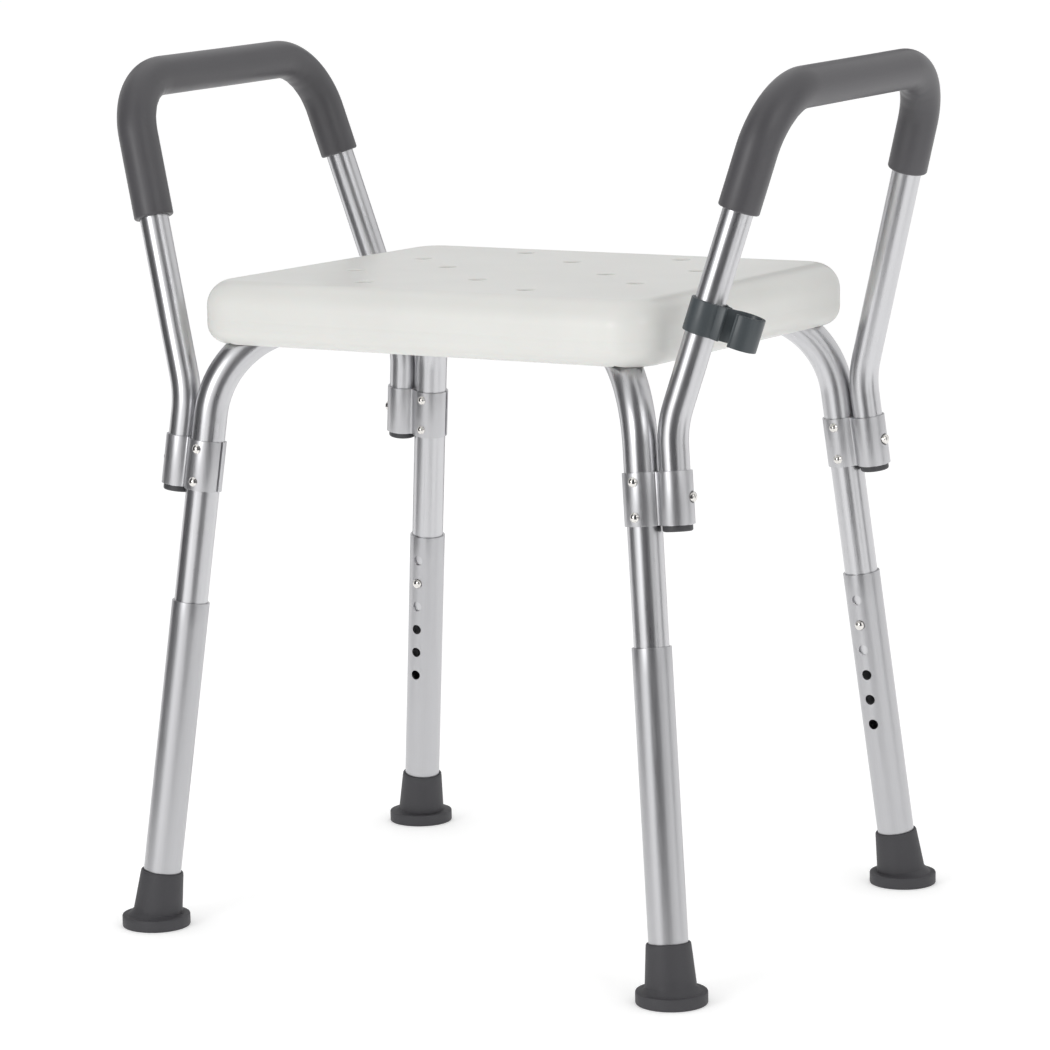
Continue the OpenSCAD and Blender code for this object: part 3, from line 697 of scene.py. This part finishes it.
def arm(side, front, rear):
    ends = [(LEGS[front], LEGS[front].sign[1]), (LEGS[rear], LEGS[rear].sign[1])]
    route, grip = [], []
    for leg, s in ends:
        top = post_at(leg, ARM_HEIGHT + s * ARM_RISE / 2)
        half = [leg.socket(BRACKET_Z - PLUG_DROP), leg.socket(ARM_BEND_Z), top]
        sleeve = [post_at(leg, ARM_HEIGHT - GRIP_DROP[leg.key]), top]
        route += half if s < 0 else half[::-1]
        grip += sleeve if s < 0 else sleeve[::-1]
    body = "arm_" + side
    bends = [ARM_LOW_BEND, ARM_TOP_BEND, ARM_TOP_BEND, ARM_LOW_BEND]
    bare = tube("arm_tube_%s_visual" % side, route, bends, ARM_R, ARM_BORE, "tube")
    keep(bare, body, "tube", "arm_tube_" + side)
    sleeve = tube("arm_grip_%s_visual" % side, grip, [ARM_TOP_BEND] * 2, GRIP_R - 0.05 * MM,
                  ARM_R + 0.3 * MM, "foam", 72, foam_shape, 1.6 * MM)
    keep(sleeve, body, "foam", "arm_grip_" + side)
    for leg, _ in ends:
        origin = leg.socket(BRACKET_Z - PLUG_DROP)
        r = ARM_R - 0.2 * MM
        profile = [(0, 11 * MM), (ARM_BORE - 0.05 * MM, 11 * MM),
                   (ARM_BORE - 0.05 * MM, 0.1 * MM), (r, -0.05 * MM), (r, -2.6 * MM)]
        profile += [(p[0], p[1]) for p in arc((r - 1.6 * MM, -2.8 * MM), 1.6 * MM, 0, -90, 6)]
        profile += [(4 * MM, -4.4 * MM), (3.4 * MM, -3.6 * MM), (0, -3.6 * MM)]
        plug = lathe("arm_plug_%s_visual" % leg.key, profile, origin, leg.up, "plug")
        keep(plug, body, "plug", "arm_plugs_" + side)
        middle = leg.socket(BRACKET_Z) + leg.up * BRACKET_H / 2
        snap_button("arm_button_%s_visual" % leg.key, "button_arm_" + leg.key, middle,
                    leg.socket_way, ARM_BORE, SOCKET_R + BUTTON_PROUD, "arm_button_" + leg.key)


# ---------------------------------------------------------------- hose clip

CLIP_WALL = 2.3 * MM
CLIP_HEIGHT = 24 * MM
CLIP_Z = 484 * MM
CLIP_GAP = 27
HOOK_BORE = 10.5 * MM
HOOK_CENTRE = Vector((32, -1)) * MM
HOOK_START, HOOK_STOP = 163, -92


def strip(points, width):
    """Outline of a band of even width along plane points, with round ends."""
    left, right = [], []
    for i, p in enumerate(points):
        a = points[max(i - 1, 0)]
        b = points[min(i + 1, len(points) - 1)]
        way = (b - a).normalized()
        across = Vector((-way.y, way.x)) * width / 2
        left.append(p + across)
        right.append(p - across)

    def cap(p, way):
        t = math.degrees(math.atan2(way.y, way.x))
        return arc(p, width / 2, t + 90, t - 90, 8)[1:-1]

    end = cap(points[-1], points[-1] - points[-2])
    start = cap(points[0], points[0] - points[1])
    return left + end + right[::-1] + start


def hose_clip():
    leg = LEGS["fr"]
    z = post_way(leg)
    y = z.cross(Vector((1, 0, 0))).normalized()
    x = y.cross(z)
    wall, height = CLIP_WALL, CLIP_HEIGHT
    ring = SOCKET_BORE + wall / 2
    hook = HOOK_BORE + wall / 2
    path = arc((0, 0), ring, CLIP_GAP, 360 - CLIP_GAP, 90)
    front, rear = path[-1], path[0]
    bend = arc(HOOK_CENTRE, hook, HOOK_START, HOOK_STOP, 76)
    path += [front + (bend[0] - front) * s for s in (0.25, 0.5, 0.75)] + bend
    tip = path[-1]
    path += [tip + Vector((-0.7, -0.15)) * MM, tip + Vector((-1.3, -0.6)) * MM]
    origin = post_at(leg, CLIP_Z) - z * height / 2
    pieces = [plate("hose_clip_visual", [strip(path, wall)], x, y, z, origin, height,
                    0.35 * MM, "clip")]
    lip = [front + Vector(p) * MM for p in ((-0.5, -0.6), (2.6, -0.95), (6.0, -0.9))]
    ear = [rear + Vector(p) * MM for p in ((-0.3, 0.1), (2.0, -0.8), (4.2, -1.6))]
    for name, line, width in (("clip_lip", lip, wall * 1.05), ("clip_ear", ear, wall * 0.8)):
        pieces.append(plate(name, [strip(line, width)], x, y, z, origin, height, 0.3 * MM,
                            "clip"))
    for piece in pieces:
        keep(piece, "clip", "clip", "hose_clip")


# ---------------------------------------------------------------- seat

SEAT_CORNER = 34 * MM
SEAT_TOP_ROUND = 20 * MM
SEAT_LOW_ROUND = 15 * MM
SEAT_SIZE = SEAT_HIGH - SEAT_LOW
DRAIN_R = 6.5 * MM
DRAIN_RIM = 1.5 * MM
DRAIN_SIDE = Vector((122, 48)) * MM
DRAIN_ROW = Vector((70, 118)) * MM
DRAIN_MID = 70 * MM
CHANNEL_WIDTH = 26.4 * MM
CHANNEL_GAP = 0.22 * MM
POCKET_REACH = 52 * MM
POCKET_RISE = 10.3 * MM


def seat_ring(inset, height, per_corner=16):
    half_x = SEAT_SIZE.x / 2 - SEAT_CORNER
    half_y = SEAT_SIZE.y / 2 - SEAT_CORNER
    r = SEAT_CORNER - inset
    ring = []
    for start, sx, sy in ((0, 1, 1), (90, -1, 1), (180, -1, -1), (270, 1, -1)):
        for p in arc((sx * half_x, sy * half_y), r, start, start + 90, per_corner):
            ring.append(Vector((p.x, p.y, height)))
    return ring


def drain_cutter(x, y):
    rim = DRAIN_RIM
    profile = [(0, SEAT_BOTTOM - MM), (DRAIN_R, SEAT_BOTTOM - MM), (DRAIN_R, SEAT_TOP - rim)]
    for p in arc((DRAIN_R + rim, SEAT_TOP - rim), rim, 180, 92, 6)[1:]:
        profile.append((p.x, p.y))
    profile += [(DRAIN_R + rim, SEAT_TOP + MM), (0, SEAT_TOP + MM)]
    return lathe("cutter", profile, Vector((x, y, 0)), Z, "seat", 48)


def channel_cutter(leg, rise):
    """The groove that one leg frame lies in, as a bar with a round-nosed side view."""
    roof = SEAT_BOTTOM + 2 * FRAME_R + CHANNEL_GAP
    reach = Vector((leg.at(RUN_Z).x, leg.at(RUN_Z).y)).length
    reach -= FRAME_BEND * math.tan(math.atan2(leg.up.z, math.hypot(leg.up.x, leg.up.y)) / 2)
    low = SEAT_BOTTOM - 4 * MM
    centre_z = RUN_Z - FRAME_BEND
    r = roof - centre_z
    side = arc((reach, centre_z), r, math.degrees(math.asin((low - centre_z) / r)), 90, 14)
    if rise:
        side += [Vector((POCKET_REACH, roof)), Vector((POCKET_REACH, roof + POCKET_RISE))]
    outline = side + [Vector((-p.x, p.y)) for p in side[::-1]]
    way = Vector((math.cos(leg.bearing), math.sin(leg.bearing), 0))
    across = Z.cross(way)
    rings = [[way * p.x + Z * p.y + across * s * CHANNEL_WIDTH / 2 for p in outline] for s in (-1, 1)]
    return rings_mesh("cutter", rings, "seat", close=False)


def seat():
    rings = []
    parting = SEAT_BOTTOM + SEAT_LOW_ROUND + 4 * MM
    for p in arc((SEAT_LOW_ROUND, SEAT_BOTTOM + SEAT_LOW_ROUND), SEAT_LOW_ROUND, 270, 180, 12):
        rings.append(seat_ring(p.x, p.y))
    for inset, dz in ((0, -0.6), (0.12, -0.25), (0.12, 0.25), (0, 0.6)):
        rings.append(seat_ring(inset * MM, parting + dz * MM))
    for p in arc((SEAT_TOP_ROUND, SEAT_TOP - SEAT_TOP_ROUND), SEAT_TOP_ROUND, 180, 90, 14):
        rings.append(seat_ring(p.x, p.y))
    piece = rings_mesh("seat_visual", rings, "seat", close=False, angle=50)
    spots = [(x * DRAIN_SIDE.x, y * DRAIN_SIDE.y) for x in (-1, 1) for y in (-1, 1)]
    spots += [(x * DRAIN_ROW.x, y * DRAIN_ROW.y) for x in (-1, 1) for y in (-1, 0, 1)]
    spots += [(0, y * DRAIN_MID) for y in (-1, 1)]
    cutters = [drain_cutter(x, y) for x, y in spots]
    cutters += [channel_cutter(LEGS["rr"], True), channel_cutter(LEGS["rl"], False)]
    cut(piece, cutters)
    smooth(piece.data, 28)
    shade = piece.modifiers.new("shade", "WEIGHTED_NORMAL")
    shade.keep_sharp = True
    keep(piece, "frame", "seat", "seat")


# ---------------------------------------------------------------- build

add_camera()
leg_frame("leg_frame_a", ("rr", "fl"), 8 * MM)
leg_frame("leg_frame_b", ("rl", "fr"), -17.42 * MM)
for key, leg in LEGS.items():
    bracket(leg)
    lower_leg(leg)
    foot(leg)
    hole = leg.at(RIM_Z) - leg.up * HOLE_PITCH * BUTTON_HOLE
    snap_button("leg_button_%s_visual" % key, "button_leg_" + key, hole, leg.hole_way,
                FRAME_BORE, LEG_R + BUTTON_PROUD, "leg_button_" + key)
bracket_rivets()
arm("left", "fl", "rl")
arm("right", "fr", "rr")
hose_clip()
seat()

LEFT_AS_CAD = {
    "spring": ["cross_rivet", "seat_screws", "seat_washers", "leg_springs",
               "arm_springs_left", "arm_springs_right"]
    + ["foot_washer_" + key for key in CORNERS],
    "insert": ["seat_inserts"],
}
for material, nodes in LEFT_AS_CAD.items():
    for node in nodes:
        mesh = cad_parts[node].data
        mesh.materials.clear()
        mesh.materials.append(M[material])
        smooth(mesh)

# ---------------------------------------------------------------- studio

FLOOR_REACH = 60
FLOOR_COLOUR = (0.93, 0.93, 0.93)
FLOOR_GLOW = 0.24
SKY_STRENGTH = 0.86
FLAG_COLOUR = (0.09, 0.09, 0.095)
LIGHT_TARGET = Vector((0, 0, 0.35))
# dark cards that only reflections see: bearing, distance, width, height
FLAGS = ((-56, 0.8, 0.62, 1.9), (212, 1.0, 1.0, 1.9), (14, 1.3, 0.25, 1.5),
         (100, 1.4, 0.35, 1.5), (-20, 1.6, 0.16, 1.6), (150, 1.5, 0.3, 1.6))
# soft boxes: name, place, size, watts
LIGHTS = (("front", (-0.5, -2.5, 1.0), 0.7, 11), ("key", (2.3, -1.0, 1.6), 0.9, 6),
          ("top", (-0.6, 0.6, 2.6), 1.6, 3))


def stage_mesh(name, verts, faces, material):
    mesh = bpy.data.meshes.new(name)
    mesh.from_pydata(verts, [], faces)
    piece = bpy.data.objects.new(name, mesh)
    bpy.context.scene.collection.objects.link(piece)
    mesh.materials.append(material)
    return piece


def flat_material(name, colour, glow=0.0):
    n = Nodes(name)
    n.set(Base_Color=(*colour, 1), Roughness=0.9, Specular_IOR_Level=0.1)
    if glow:
        n.set(Emission_Color=(*colour, 1), Emission_Strength=glow)
    return n.material


def studio():
    r = FLOOR_REACH
    stage_mesh("floor", [(-r, -r, 0), (r, -r, 0), (r, r, 0), (-r, r, 0)], [(0, 1, 2, 3)],
               flat_material("floor", FLOOR_COLOUR, FLOOR_GLOW))
    dark = flat_material("flag", FLAG_COLOUR)
    for i, (bearing, distance, width, height) in enumerate(FLAGS):
        t = math.radians(bearing)
        centre = Vector((math.cos(t), math.sin(t), 0)) * distance
        across = Vector((-math.sin(t), math.cos(t), 0)) * width / 2
        corners = [centre - across, centre + across, centre + across + Z * height,
                   centre - across + Z * height]
        flag = stage_mesh("flag_%d" % i, corners, [(0, 1, 2, 3)], dark)
        flag.visible_camera = False
        flag.visible_diffuse = False
        flag.visible_shadow = False
        flag.visible_transmission = False
    for name, place, size, power in LIGHTS:
        data = bpy.data.lights.new(name, "AREA")
        data.size = size
        data.energy = power
        light = bpy.data.objects.new(name, data)
        light.location = place
        aim = LIGHT_TARGET - Vector(place)
        light.rotation_euler = aim.to_track_quat("-Z", "Y").to_euler()
        bpy.context.scene.collection.objects.link(light)
    world = bpy.data.worlds.new("studio")
    world.use_nodes = True
    bpy.context.scene.world = world
    back = world.node_tree.nodes["Background"]
    back.inputs["Color"].default_value = (1, 1, 1, 1)
    back.inputs["Strength"].default_value = SKY_STRENGTH
    bpy.context.scene.view_settings.view_transform = "Standard"


studio()
